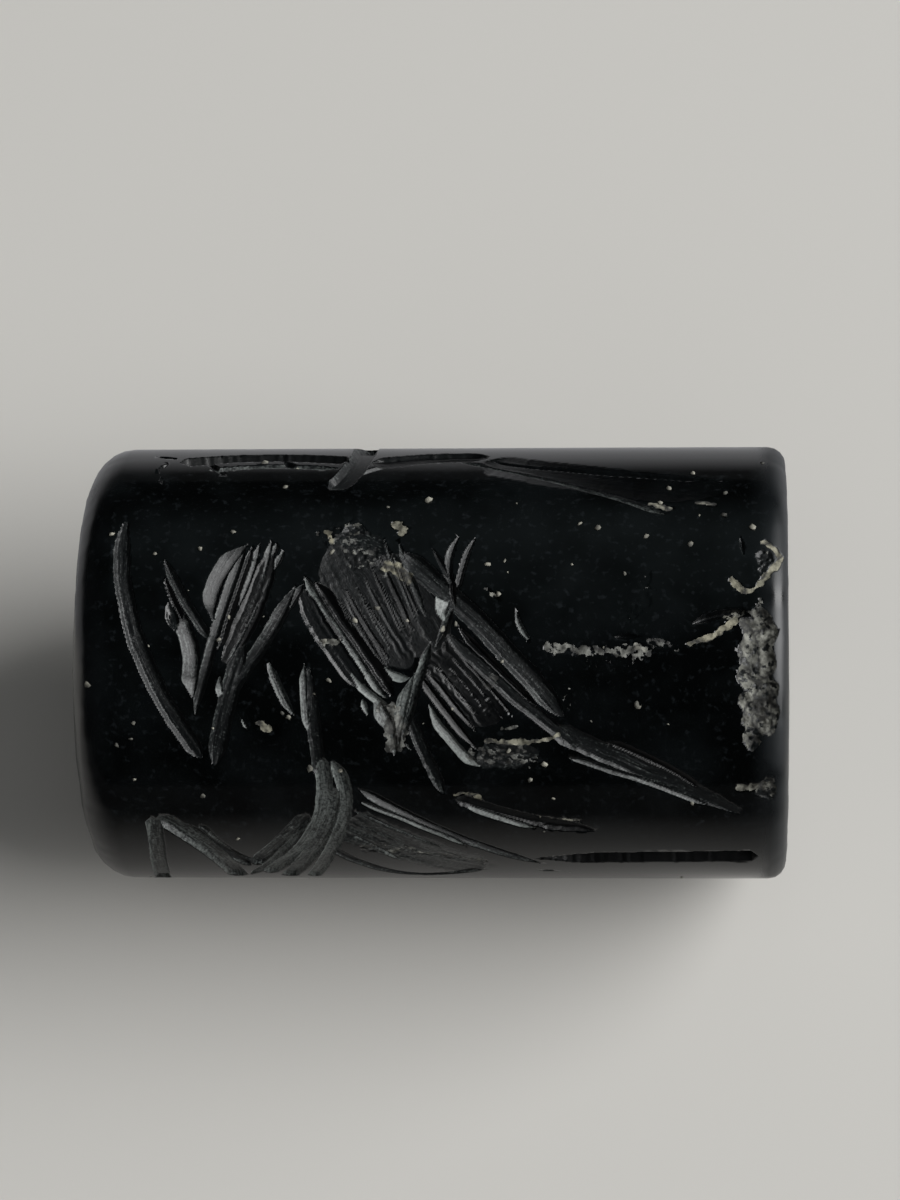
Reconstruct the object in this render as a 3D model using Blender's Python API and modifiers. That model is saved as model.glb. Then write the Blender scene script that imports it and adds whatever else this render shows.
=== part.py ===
"""Carved cylinder seal of polished black stone, lying on its side.

Metres, +Z up. The seal's axis lies along X, and it rests at Z = 0 on a small flat underneath.
The near side, at -Y, and the top carry the carving that is best kept.
"""
import math
import random
from collections import namedtuple

import bmesh
import bpy
from mathutils import Matrix, Vector

MM = 0.001

# The stone
LENGTH = 25.0 * MM
DIAMETER = 15.6 * MM
LEFT_EDGE_ROUND = 1.4 * MM
RIGHT_EDGE_ROUND = 0.65 * MM
FLAT_WIDTH = 2.6 * MM

# The string hole, drilled from both ends and narrower where the two drillings meet
HOLE_MOUTH = 3.2 * MM
HOLE_WAIST = 2.4 * MM
HOLE_EDGE_ROUND = 0.3 * MM

# How finely the turned form is faceted: flats round the stone, and degrees between the flats
# of a rounded edge and of the hole's lip
SEGMENTS_AROUND = 84
EDGE_STEP = 18
LIP_STEP = 45

# The carving is set out on a drawing of the shown face, in units counted right and down from
# the middle of the seal. The drawing is a view from one point, so its lines are cast back onto
# the stone from there, and what is drawn past the outline runs on round the stone.
UNITS_IN_LENGTH = 687
UNITS_IN_DIAMETER = 429
VIEW_DISTANCE = 151 * MM
VIEW_ALONG = 9.8 * MM
SHOWN_FACE = math.radians(23)
UNDER_FACE = math.radians(139)
BACK_FACE = math.radians(244)

# A cut's cross-section is carried this far above the surface, and stands about this often
# along its path, which is first walked in small steps
CLEAR = 0.12 * MM
STATION = 1.7 * MM
PATH_SAMPLES = 40
FEWEST_STATIONS = 5

# How quickly a tool goes in and comes out: at 1 it would dig evenly to the middle of its stroke
ENTRY_POWER = 2.6

RADIUS = DIAMETER / 2
AXIS_HEIGHT = math.sqrt(RADIUS ** 2 - (FLAT_WIDTH / 2) ** 2)

Tool = namedtuple("Tool", "width depth hollow")
Cut = namedtuple("Cut", "tool path press lean face")

# Widths and depths that each tool leaves at full pressure. The last value is true for a tool
# that leaves a rounded floor, and false for a pointed one.
MEDIUM = Tool(0.42 * MM, 0.19 * MM, False)
BROAD = Tool(0.64 * MM, 0.27 * MM, False)
GOUGE = Tool(0.95 * MM, 0.28 * MM, True)
SCOOP = Tool(2.3 * MM, 0.22 * MM, True)

# Chips are rough flattened lumps taken out of the stone, placed on the drawing. The long break
# along the right end is a row of them.
Chip = namedtuple("Chip", "name drawn width sink face")
CHIP_FLATNESS = 0.5
CHIP_DETAIL = 2
CHIP_LEAST, CHIP_MOST = 0.84, 1.1
BREAK_ALONG = 328
BREAK_TOP = -42
BREAK_FOOT = 70
BREAK_LUMPS = 5
BREAK_STAGGER = 6
BREAK_WIDTH = 2.3 * MM
BREAK_SINK = 0.3 * MM
CHIPS = [
    Chip("right_upper_chip", (332, -98), 1.9 * MM, 0.16 * MM, SHOWN_FACE),
    Chip("right_lower_chip", (334, 126), 1.4 * MM, 0.14 * MM, SHOWN_FACE),
    Chip("left_chip", (-354, 18), 1.3 * MM, 0.14 * MM, SHOWN_FACE),
    Chip("left_back_chip", (-336, 10), 1.8 * MM, 0.22 * MM, BACK_FACE),
    Chip("right_back_chip", (334, -40), 1.5 * MM, 0.2 * MM, BACK_FACE),
]

STONE_COLOUR = (0.0033, 0.0037, 0.0040, 1.0)
STONE_ROUGHNESS = 0.14


def clear_scene():
    """Remove what the scene starts with."""
    for leftover in list(bpy.data.objects):
        bpy.data.objects.remove(leftover, do_unlink=True)


def new_collection(name):
    """A named collection in the scene."""
    collection = bpy.data.collections.new(name)
    bpy.context.scene.collection.children.link(collection)
    return collection


def black_stone():
    """Polished black stone."""
    material = bpy.data.materials.new("black stone")
    material.use_nodes = True
    shader = material.node_tree.nodes["Principled BSDF"]
    shader.inputs["Base Color"].default_value = STONE_COLOUR
    shader.inputs["Roughness"].default_value = STONE_ROUGHNESS
    shader.inputs["Metallic"].default_value = 0.0
    return material


def cut(tool, *path, press=1.0, lean=0.0, face=SHOWN_FACE):
    """One stroke of a tool along two or three drawn points."""
    return Cut(tool, path, press, lean, face)


def arc(centre, radius, start_degrees, end_degrees, step_degrees):
    """Points of an arc, as radius and place along the axis."""
    points = []
    steps = round(abs(end_degrees - start_degrees) / step_degrees)
    for step in range(steps + 1):
        turn = math.radians(start_degrees + (end_degrees - start_degrees) * step / steps)
        points.append((centre[0] + radius * math.cos(turn), centre[1] + radius * math.sin(turn)))
    return points


def seal_profile():
    """The turned outline, down the outer side from the right end to the left and back up the hole."""
    half = LENGTH / 2
    mouth = HOLE_MOUTH / 2
    lip = HOLE_EDGE_ROUND
    right, left = RIGHT_EDGE_ROUND, LEFT_EDGE_ROUND
    points = arc((mouth + lip, half - lip), lip, 180, 90, LIP_STEP)
    points += arc((RADIUS - right, half - right), right, 90, 0, EDGE_STEP)
    points += arc((RADIUS - left, left - half), left, 0, -90, EDGE_STEP)
    points += arc((mouth + lip, lip - half), lip, -90, -180, LIP_STEP)
    points.append((HOLE_WAIST / 2, 0.0))
    return points


def turned_stone(collection, material):
    """The plain cylinder with its string hole."""
    mesh = bpy.data.meshes.new("cylinder_seal")
    profile = [(radius, 0.0, along) for radius, along in seal_profile()]
    count = len(profile)
    mesh.from_pydata(profile, [(i, (i + 1) % count) for i in range(count)], [])
    seal = bpy.data.objects.new("cylinder_seal", mesh)
    collection.objects.link(seal)
    screw = seal.modifiers.new("turned", "SCREW")
    screw.axis = "Z"
    screw.steps = SEGMENTS_AROUND
    screw.render_steps = SEGMENTS_AROUND
    screw.use_merge_vertices = True
    screw.merge_threshold = 0.00001
    screw.use_smooth_shade = True
    seal.rotation_euler = (0.0, math.radians(90), 0.0)
    seal.location = (0.0, 0.0, AXIS_HEIGHT)
    mesh.materials.append(material)
    return seal


def on_stone(drawn, face):
    """X of a drawn point on the stone, and its angle from the top toward the near side."""
    along = drawn[0] / UNITS_IN_LENGTH * LENGTH
    down = drawn[1] / UNITS_IN_DIAMETER * DIAMETER
    slant = VIEW_DISTANCE ** 2 - RADIUS ** 2
    outline = RADIUS * VIEW_DISTANCE / math.sqrt(slant)
    seen = max(-outline, min(outline, down))
    root = math.sqrt(max(0.0, (VIEW_DISTANCE * RADIUS) ** 2 - slant * seen ** 2))
    share = (VIEW_DISTANCE ** 2 - root) / (VIEW_DISTANCE ** 2 + seen ** 2)
    angle = math.atan2(share * seen, VIEW_DISTANCE * (1 - share))
    round_the_back = (down - seen) / RADIUS
    return VIEW_ALONG + share * (along - VIEW_ALONG), face + angle + round_the_back


def on_surface(x, angle, height=0.0):
    """The point in space at this X, angle and height above the stone's surface."""
    reach = RADIUS + height
    return Vector((x, -reach * math.sin(angle), AXIS_HEIGHT + reach * math.cos(angle)))


def drawn_point(path, share):
    """A point of a drawn path, straight through two points or bowed through a third between."""
    if len(path) == 2:
        start, end = path
        via = ((start[0] + end[0]) / 2, (start[1] + end[1]) / 2)
    else:
        start, via, end = path
    point = []
    for a, b, c in zip(start, via, end):
        pull = 2 * b - (a + c) / 2
        point.append(a * (1 - share) ** 2 + pull * 2 * share * (1 - share) + c * share ** 2)
    return point


def stations(stroke):
    """Places along a stroke, as X and distance round the stone, evenly spaced on the stone."""
    fine = []
    run = [0.0]
    for i in range(PATH_SAMPLES + 1):
        x, angle = on_stone(drawn_point(stroke.path, i / PATH_SAMPLES), stroke.face)
        fine.append(Vector((x, angle * RADIUS)))
        if i > 0:
            run.append(run[-1] + (fine[i] - fine[i - 1]).length)
    count = max(FEWEST_STATIONS, math.ceil(run[-1] / STATION) + 1)
    places = []
    passed = 0
    for i in range(count):
        goal = run[-1] * i / (count - 1)
        while passed < PATH_SAMPLES - 1 and run[passed + 1] < goal:
            passed += 1
        part = (goal - run[passed]) / (run[passed + 1] - run[passed])
        places.append(fine[passed].lerp(fine[passed + 1], part))
    return places


def pressure(share):
    """How deep the tool runs along its stroke: quickly in, level, quickly out."""
    to_end = 1 - abs(2 * share - 1)
    return 1 - (1 - to_end) ** ENTRY_POWER


def tool_section(stroke, floor):
    """Across and height of the tool's section when its tip is at this height."""
    half = stroke.tool.width * stroke.press / 2
    depth = stroke.tool.depth * stroke.press
    rise = (CLEAR - floor) / depth
    if stroke.tool.hollow:
        reach = half * math.sqrt(rise)
        shares = (-1.0, -0.5, 0.0, 0.5, 1.0)
        section = [(share * reach, floor + share ** 2 * (CLEAR - floor)) for share in shares]
    else:
        left = half * (1 + stroke.lean) * rise
        right = half * (1 - stroke.lean) * rise
        section = [(-left, CLEAR), (0.0, floor), (right, CLEAR)]
    section.append(((section[0][0] + section[-1][0]) / 2, CLEAR))
    return section


def cutter_object(name, shape, collection):
    """A hidden cutter made of this bmesh."""
    bmesh.ops.recalc_face_normals(shape, faces=shape.faces)
    mesh = bpy.data.meshes.new(name)
    shape.to_mesh(mesh)
    shape.free()
    cutter = bpy.data.objects.new(name, mesh)
    cutter.display_type = "WIRE"
    cutter.hide_render = True
    collection.objects.link(cutter)
    return cutter


def stroke_into(shape, stroke):
    """Add the body that one stroke takes away: its tool's section lofted along its path."""
    places = stations(stroke)
    rows = []
    for i, place in enumerate(places):
        ahead = places[min(i + 1, len(places) - 1)] - places[max(i - 1, 0)]
        ahead.normalize()
        sideways = Vector((-ahead.y, ahead.x))
        depth = stroke.tool.depth * stroke.press
        floor = CLEAR / 2 - (depth + CLEAR / 2) * pressure(i / (len(places) - 1))
        row = []
        for across, height in tool_section(stroke, floor):
            spot = place + sideways * across
            row.append(shape.verts.new(on_surface(spot.x, spot.y / RADIUS, height)))
        rows.append(row)
    for row, following in zip(rows, rows[1:]):
        for i in range(len(row)):
            j = (i + 1) % len(row)
            shape.faces.new((row[i], row[j], following[j], following[i]))
    shape.faces.new(rows[0])
    shape.faces.new(list(reversed(rows[-1])))


def left_bow():
    """The long bow at the left and the short strokes inside it."""
    return [
        cut(MEDIUM, (-324, -133), (-311, -23), (-239, 94), press=1.1, lean=-0.3),
        cut(MEDIUM, (-314, -140), (-299, -23), (-235, 88), press=1.2, lean=0.2),
        cut(MEDIUM, (-279, -108), (-263, -69), (-231, -28), lean=0.4),
        cut(BROAD, (-260, -48), (-257, -13), (-246, 36), press=0.8, lean=0.5),
    ]


def left_fan():
    """The fan of strokes that runs down into the point of the V."""
    return [
        cut(BROAD, (-234, -49), (-222, -89), (-188, -123), press=0.85, lean=-0.4),
        cut(MEDIUM, (-191, -118), (-220, -30), (-247, 57)),
        cut(MEDIUM, (-173, -123), (-189, -68), (-213, -13), press=0.8),
        cut(BROAD, (-135, -80), (-171, -31), (-212, 20), press=0.8),
        cut(BROAD, (-188, -8), (-219, 42), (-229, 105), press=0.95),
        cut(MEDIUM, (-174, -3), (-162, 27), (-145, 55), press=0.8),
    ]


def long_leg():
    """The leg between the two halves, whose strands cross under the near side."""
    return [
        cut(BROAD, (-135, -3), (-128, 52), (-120, 108), press=0.9, lean=-0.3),
        cut(BROAD, (-119, 90), (-124, 159), (-175, 209)),
        cut(BROAD, (-114, 97), (-94, 152), (-129, 211), press=0.9),
        cut(BROAD, (-288, 155), (-283, 185), (-278, 219), press=0.8),
        cut(BROAD, (-279, 157), (-208, 212)),
        cut(MEDIUM, (-244, 160), (-216, 183), (-189, 198)),
        cut(BROAD, (-192, 198), (-161, 175), (-130, 150), press=0.9),
    ]


def scraped_body():
    """The broad scraped body in the middle, with the strokes of its scraping side by side."""
    cuts = [
        cut(SCOOP, (-92, -126), (-58, -60), (-26, 2)),
        cut(GOUGE, (-108, -146), (-56, -104), press=0.7),
        cut(BROAD, (-141, -91), (-103, -31), (-52, 38), press=0.95, lean=-0.2),
        cut(MEDIUM, (-124, -46), (-95, 7), (-52, 45)),
        cut(BROAD, (-64, -10), (-38, 26), press=0.8),
        cut(BROAD, (-29, 4), (-38, 47), (-43, 90)),
    ]
    for strand in range(5):
        start = (-108 + 13 * strand, -112 - 4 * strand)
        end = (-32 + 7 * strand, 8 - 9 * strand)
        cuts.append(cut(MEDIUM, start, end, press=0.8))
    return cuts


def crossing_twig():
    """The thin twig that crosses the body from the upper right."""
    return [
        cut(MEDIUM, (11, -58), (-15, 5), (-39, 80), press=0.8),
        cut(MEDIUM, (22, -131), (14, -105), (12, -77), press=0.9),
        cut(MEDIUM, (3, -68), (-4, -40)),
    ]


def sweeping_bands():
    """The bands that sweep down to the right, and the strands packed under them."""
    cuts = [
        cut(GOUGE, (-14, -99), (50, -17), (127, 57), press=0.75),
        cut(MEDIUM, (11, -58), (38, -22), (70, 19)),
        cut(BROAD, (9, -28), (66, 25), (134, 72), press=0.85),
        cut(GOUGE, (118, 48), (199, 94), (297, 147), press=0.9),
        cut(BROAD, (104, 65), (190, 112), (310, 154), press=0.9, lean=0.4),
        cut(BROAD, (56, 39), (80, 57), (104, 74)),
        cut(MEDIUM, (45, 78), (84, 79), (119, 72)),
        cut(GOUGE, (37, 89), (87, 94), press=0.7),
        cut(BROAD, (-9, 50), (16, 76), (42, 104), press=0.85, lean=-0.4),
        cut(BROAD, (-31, 57), (-11, 92), (3, 134), press=0.85),
        cut(MEDIUM, (14, 137), (56, 152), (99, 167)),
        cut(MEDIUM, (32, 134), (79, 148), (123, 157)),
        cut(MEDIUM, (97, 163), (159, 167)),
    ]
    for strand in range(4):
        start = (-10 + 9 * strand, 30 - 13 * strand)
        end = (30 + 12 * strand, 78 - 13 * strand)
        cuts.append(cut(MEDIUM, start, end, press=0.8))
    return cuts


def near_side_lines():
    """The long lines along the near side, close to the outline."""
    return [
        cut(MEDIUM, (-86, 123), (9, 170), (107, 201)),
        cut(SCOOP, (-96, 165), (-16, 192), (44, 203), press=0.75),
        cut(BROAD, (-108, 185), (-41, 209), (47, 205), press=0.8),
        cut(BROAD, (93, 194), (206, 196), (321, 192)),
    ]


def far_side_channels():
    """The channels along the far side, one of which notches the outline."""
    return [
        cut(GOUGE, (-271, -198), (-181, -203), (-89, -201), press=1.1),
        cut(MEDIUM, (-228, -196), (-208, -184)),
        cut(MEDIUM, (-293, -190), (-264, -209)),
        cut(BROAD, (-62, -238), (-84, -199), (-112, -174), press=1.3),
        cut(GOUGE, (-74, -199), (-6, -204), (64, -205)),
        cut(BROAD, (14, -202), (119, -176), (229, -148), press=0.9),
        cut(SCOOP, (49, -203), (159, -182), (296, -168), press=0.8),
    ]


def right_end_marks():
    """The hollow, the streak and the slots on the smooth part at the right."""
    return [
        cut(SCOOP, (112, -73), (196, -73), press=0.6),
        cut(GOUGE, (107, -15), (159, -11), (217, -12), press=0.55),
        cut(MEDIUM, (245, -33), (279, -41), (317, -43)),
    ]


def hidden_field(face, tall):
    """Plainer carving on a side that doesn't show: a row of chevrons over a long line."""
    cuts = [cut(MEDIUM, (-270, tall), (0, tall + 8), (270, tall - 4), face=face)]
    for chevron in range(4):
        middle = -225 + 150 * chevron
        foot = (middle, tall - 22)
        cuts.append(cut(BROAD, (middle - 58, 20 - tall), foot, press=0.9, face=face))
        cuts.append(cut(BROAD, (middle + 46, 30 - tall), foot, press=0.8, face=face))
    return cuts


def carve_strokes(cutters):
    """A cutter for every stroke."""
    groups = {
        "left_bow": left_bow(),
        "left_fan": left_fan(),
        "long_leg": long_leg(),
        "scraped_body": scraped_body(),
        "crossing_twig": crossing_twig(),
        "sweeping_bands": sweeping_bands(),
        "near_side_lines": near_side_lines(),
        "far_side_channels": far_side_channels(),
        "right_end_marks": right_end_marks(),
        "under_chevrons": hidden_field(UNDER_FACE, 84),
        "back_chevrons": hidden_field(BACK_FACE, 118),
    }
    for name, strokes in groups.items():
        for number, stroke in enumerate(strokes):
            shape = bmesh.new()
            stroke_into(shape, stroke)
            cutter_object(f"{name}_{number}", shape, cutters)


def chip_off(chip, cutters):
    """A cutter for one chip: a rough flattened lump, sunk into the stone."""
    x, angle = on_stone(chip.drawn, chip.face)
    chance = random.Random(chip.name)
    shape = bmesh.new()
    bmesh.ops.create_icosphere(shape, subdivisions=CHIP_DETAIL, radius=chip.width / 2)
    for corner in shape.verts:
        corner.co *= chance.uniform(CHIP_LEAST, CHIP_MOST)
    bmesh.ops.scale(shape, vec=(1.0, 1.0, CHIP_FLATNESS), verts=shape.verts)
    tipped = Matrix.Rotation(angle, 4, "X") @ Matrix.Rotation(chance.uniform(0.0, math.tau), 4, "Z")
    middle = on_surface(x, angle, chip.width / 2 * CHIP_FLATNESS - chip.sink)
    bmesh.ops.transform(shape, matrix=Matrix.Translation(middle) @ tipped, verts=shape.verts)
    cutter_object(chip.name, shape, cutters)


def chip_ends(cutters):
    """The crusted break along the right end, and smaller chips at both ends."""
    for i in range(BREAK_LUMPS):
        down = BREAK_TOP + (BREAK_FOOT - BREAK_TOP) * i / (BREAK_LUMPS - 1)
        drawn = (BREAK_ALONG + BREAK_STAGGER * (i % 2), down)
        chip_off(Chip(f"right_break_{i}", drawn, BREAK_WIDTH, BREAK_SINK, SHOWN_FACE), cutters)
    for chip in CHIPS:
        chip_off(chip, cutters)


def resting_flat(cutters):
    """The small flat that keeps the seal from rolling."""
    bpy.ops.mesh.primitive_cube_add(size=1.0)
    block = bpy.context.object
    block.name = "resting_flat"
    block.scale = (2 * LENGTH, DIAMETER, RADIUS)
    block.location = (0.0, 0.0, -RADIUS / 2)
    block.display_type = "WIRE"
    block.hide_render = True
    for home in list(block.users_collection):
        home.objects.unlink(block)
    cutters.objects.link(block)


def take_away(seal, cutters):
    """Subtract all the cutters from the stone."""
    boolean = seal.modifiers.new("carving", "BOOLEAN")
    boolean.operation = "DIFFERENCE"
    boolean.solver = "EXACT"
    boolean.operand_type = "COLLECTION"
    boolean.collection = cutters


clear_scene()
parts = new_collection("cylinder seal")
cutters = new_collection("cutters")
seal = turned_stone(parts, black_stone())
resting_flat(cutters)
carve_strokes(cutters)
chip_ends(cutters)
take_away(seal, cutters)
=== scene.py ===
"""Looks of a carved cylinder seal of polished black stone, lying on its side on a pale floor."""
import math
from collections import namedtuple

import bmesh
import bpy
import numpy as np
from mathutils import Matrix, Vector


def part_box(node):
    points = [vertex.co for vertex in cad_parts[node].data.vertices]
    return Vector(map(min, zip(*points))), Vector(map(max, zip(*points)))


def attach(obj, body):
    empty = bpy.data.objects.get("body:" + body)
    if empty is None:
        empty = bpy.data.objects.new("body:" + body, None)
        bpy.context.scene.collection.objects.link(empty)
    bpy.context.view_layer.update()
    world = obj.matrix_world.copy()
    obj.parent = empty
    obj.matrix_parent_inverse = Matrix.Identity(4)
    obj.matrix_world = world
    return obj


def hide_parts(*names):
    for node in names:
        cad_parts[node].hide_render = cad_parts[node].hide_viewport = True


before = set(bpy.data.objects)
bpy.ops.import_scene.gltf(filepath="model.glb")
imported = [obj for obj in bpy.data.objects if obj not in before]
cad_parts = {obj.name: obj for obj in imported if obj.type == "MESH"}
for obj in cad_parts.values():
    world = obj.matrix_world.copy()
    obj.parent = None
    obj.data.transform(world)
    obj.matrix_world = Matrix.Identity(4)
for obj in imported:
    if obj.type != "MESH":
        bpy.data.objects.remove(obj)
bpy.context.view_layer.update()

MM = 0.001

# The stone, from the frame
LOW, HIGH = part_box("cylinder_seal")
LENGTH = HIGH.x - LOW.x
RADIUS = (HIGH.y - LOW.y) / 2
AXIS_HEIGHT = HIGH.z - RADIUS

# The turned outline and the string hole, as in the solid
LEFT_EDGE_ROUND = 1.4 * MM
RIGHT_EDGE_ROUND = 0.65 * MM
HOLE_MOUTH = 3.2 * MM
HOLE_WAIST = 2.4 * MM
HOLE_EDGE_ROUND = 0.3 * MM

# The drawing that the carving is set out on: units counted right and down from the middle of
# the seal, seen from one point and cast back onto the stone, as in the solid
UNITS_IN_LENGTH = 687
UNITS_IN_DIAMETER = 429
VIEW_DISTANCE = 151 * MM
VIEW_ALONG = 9.8 * MM
SHOWN_FACE = math.radians(23)
UNDER_FACE = math.radians(139)
BACK_FACE = math.radians(244)

# The skin starts as a grid of these cells along the turned outline, from the middle of the hole out
# over the right end, along the side and back in over the left end, and these cells round the stone
CELLS_IN_HOLE = 10
CELLS_IN_LIP = 2
CELLS_ON_FACE = 12
CELLS_IN_RIGHT_ROUND = 4
CELLS_ON_SIDE = 60
CELLS_IN_LEFT_ROUND = 6
CELLS_ROUND = 128
ARC_STEPS = 64
NORMAL_REACH = 0.02 * MM
SEAM_GAP = 0.002 * MM

# It is made finer near carving, chips and crust, again in them, and again where it bends most on the
# side that shows, in cells that are fine already
FINE_REACH = 0.03 * MM
CRUST_SHOWS = 0.2
FINEST_FACES = 12000
SHOWN_ROUND = -0.1
WIDEST_CELL = 0.3

# How a stroke runs: it starts and ends half of CLEAR above the surface, in steps along its path, and
# UNCUT is the depth of a place that no stroke comes near
CLEAR = 0.1 * MM
PATH_STEPS = 24
UNCUT = -0.3 * MM

Tool = namedtuple("Tool", "width depth bank stria")
Cut = namedtuple("Cut", "tool path press lean entry leave face matt pale")

# Width and depth that each tool leaves at full pressure, how much of each half of it slopes (0 is
# a round floor, 1 a sharp V), and how deep the scratches of its grit are: HOLLOW leaves hardly any
FINE = Tool(0.22 * MM, 0.12 * MM, 1.0, 0.004 * MM)
MEDIUM = Tool(0.38 * MM, 0.17 * MM, 0.8, 0.018 * MM)
BROAD = Tool(0.6 * MM, 0.17 * MM, 0.4, 0.032 * MM)
SLIT = Tool(0.3 * MM, 0.27 * MM, 1.0, 0.006 * MM)
BLADE = Tool(0.62 * MM, 0.26 * MM, 1.0, 0.01 * MM)
CHANNEL = Tool(0.8 * MM, 0.34 * MM, 0.75, 0.004 * MM)
SCRAPE = Tool(1.0 * MM, 0.14 * MM, 0.35, 0.04 * MM)
SCOOP = Tool(2.3 * MM, 0.1 * MM, 0.0, 0.035 * MM)
HOLLOW = Tool(2.3 * MM, 0.11 * MM, 0.0, 0.004 * MM)

# A patch of crust: its path and width, how much of the stone it covers, and how cream it is
Crust = namedtuple("Crust", "path width cover cream face")

# Chips: where each is drawn, its width, how far it sinks, its side and how much crust is in it
Chip = namedtuple("Chip", "drawn width sink face crust")
CHIP_FLATNESS = 0.5

# The crusted break down the right end is a row of such chips, staggered along the seal
BREAK_ALONG = 316
BREAK_STAGGER = 3
BREAK_TOP = -40
BREAK_FOOT = 56
BREAK_LUMPS = 8
BREAK_WIDTH = 1.9 * MM
BREAK_SINK = 0.24 * MM
BREAK_CRUST = 0.56
CHIPS = [
    Chip((309, 74), 1.1 * MM, 0.14 * MM, SHOWN_FACE, 0.5),
    Chip((322, -104), 1.5 * MM, 0.07 * MM, SHOWN_FACE, 0.3),
    Chip((326, 126), 1.6 * MM, 0.1 * MM, SHOWN_FACE, 0.45),
    Chip((-86, -124), 2.5 * MM, 0.11 * MM, SHOWN_FACE, 0.4),
    Chip((-356, 18), 1.2 * MM, 0.1 * MM, SHOWN_FACE, 0.2),
    Chip((-336, 10), 1.8 * MM, 0.22 * MM, BACK_FACE, 0.34),
    Chip((334, -40), 1.5 * MM, 0.2 * MM, BACK_FACE, 0.34),
]

# The round polished hollow in the smooth part at the right
DISH_MIDDLE = (154, -73)
DISH_RADIUS = 1.75 * MM
DISH_DEPTH = 0.05 * MM
DISH_EASE = 1.5


def linear(hexed):
    """A linear colour from an sRGB hex value."""
    shares = [int(hexed[i:i + 2], 16) / 255 for i in (1, 3, 5)]
    made = [s / 12.92 if s <= 0.04045 else ((s + 0.055) / 1.055) ** 2.4 for s in shares]
    return (*made, 1.0)


def add(tree, kind, inputs=None, **settings):
    """The outputs of a new node; each of its inputs is a value or the output that feeds it."""
    made = tree.nodes.new("ShaderNode" + kind)
    for name, value in settings.items():
        setattr(made, name, value)
    for name, value in (inputs or {}).items():
        if isinstance(value, bpy.types.NodeSocket):
            tree.links.new(value, made.inputs[name])
        else:
            made.inputs[name].default_value = value
    return made.outputs


def smooth(values, start, end):
    """0 below start, 1 above end, and a smooth step between."""
    share = np.clip((values - start) / (end - start), 0.0, 1.0)
    return share * share * (3 - 2 * share)


NOISE_CELLS = 64


def noise(a, b, seed, wrap=NOISE_CELLS):
    """Smooth noise from 0 to 1 over a plane, which repeats after wrap cells along b."""
    table = np.random.default_rng(seed).random((NOISE_CELLS, wrap))
    column = np.floor(a).astype(int)
    row = np.floor(b).astype(int)
    right = a - column
    up = b - row
    right = right * right * (3 - 2 * right)
    up = up * up * (3 - 2 * up)
    i, j = column % NOISE_CELLS, (column + 1) % NOISE_CELLS
    k, m = row % wrap, (row + 1) % wrap
    low = table[i, k] * (1 - right) + table[j, k] * right
    high = table[i, m] * (1 - right) + table[j, m] * right
    return low * (1 - up) + high * up


def skin_noise(x, angle, size, seed):
    """Noise over the stone, in lumps of about this size, which closes on itself round it."""
    around = max(2, round(math.tau * RADIUS / size))
    return noise(x / size, angle / math.tau * around, seed, around)


def cut(tool, *path, press=1.0, lean=0.0, entry=0.8, leave=0.8, face=SHOWN_FACE, matt=1.0, pale=0.0):
    """One stroke of a tool along two or three drawn points.

    Above zero, lean widens the bank on the far side, which is the right one of a path drawn down, and
    below zero the other bank. The tool takes entry and leave, in mm, to come to full depth and out.
    Matt is how dull its floor is left. Its paleness makes that floor lighter above zero, paler ground stone
    and in part a painted highlight on banks and facets that face the light, and darker below zero, a
    painted shade in deep cuts and on banks turned from the light.
    """
    return Cut(tool, path, press, lean, entry * MM, leave * MM, face, matt, pale)


def left_bow():
    """The long bow at the left and the short strokes inside it."""
    return [
        cut(BROAD, (-315, -148), (-320, -85), (-299, 2), press=1.02, entry=1.6),
        cut(BROAD, (-313, -42), (-281, 32), (-238, 97), press=1.08, entry=0.7, leave=0.7),
        cut(FINE, (-303, -3), (-276, 45), (-247, 93), press=1.4, pale=0.3),
        cut(BROAD, (-274, -66), (-264, -28), press=0.8, matt=0.4),
        cut(MEDIUM, (-279, -108), (-262, -73), (-231, -22), press=0.95, entry=0.9, leave=0.5),
        cut(FINE, (-279, -92), (-266, -55), (-243, -14), press=1.2, lean=0.6, pale=-0.5),
        cut(BLADE, (-260, -52), (-246, -10), (-249, 40), lean=-0.7, entry=0.5, leave=0.9, pale=0.2),
    ]


def left_fan():
    """The fan of strokes that runs down into the point of the V."""
    return [
        cut(SCRAPE, (-170, -116), (-190, -54), (-224, 10), press=0.85, entry=1.4, leave=2.0, pale=-0.6),
        cut(BLADE, (-189, -122), (-219, -84), (-228, -38), lean=-0.7, entry=1.2, leave=1.1),
        cut(MEDIUM, (-196, -116), (-221, -43), (-248, 57), press=1.05, lean=-0.2, leave=1.2),
        cut(FINE, (-188, -121), (-203, -80), (-226, -8), press=1.4, lean=0.6, pale=-0.5),
        cut(MEDIUM, (-181, -124), (-188, -92), (-205, -54), press=0.75, lean=-0.6, pale=0.2),
        cut(MEDIUM, (-170, -127), (-180, -84), (-208, -25), press=0.7, lean=-0.5, pale=0.2),
        cut(FINE, (-155, -118), (-169, -88), press=1.3, pale=0.1),
        cut(FINE, (-164, -121), (-169, -106), press=1.1, entry=0.2, leave=0.2),
        cut(FINE, (-180, -74), (-192, -43), (-217, 4), press=1.3, pale=0.2),
        cut(FINE, (-187, -60), (-194, -20), press=1.1),
        cut(FINE, (-197, -28), (-214, 12), press=1.1),
        cut(MEDIUM, (-144, -82), (-171, -30), (-213, 34), press=1.35, lean=-0.2, entry=1.4, leave=0.5),
        cut(FINE, (-136, -82), (-158, -44), press=1.3, entry=0.4),
        cut(BROAD, (-196, -30), (-214, 40), (-228, 106), press=1.12, entry=1.4, leave=1.0),
        cut(FINE, (-222, 6), (-219, 46), press=1.4, lean=-0.6, pale=0.5),
        cut(MEDIUM, (-174, -5), (-162, 27), (-145, 56), press=0.95, pale=0.3),
        cut(FINE, (-205, 49), (-189, 76), press=0.9, pale=0.3),
    ]


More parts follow.
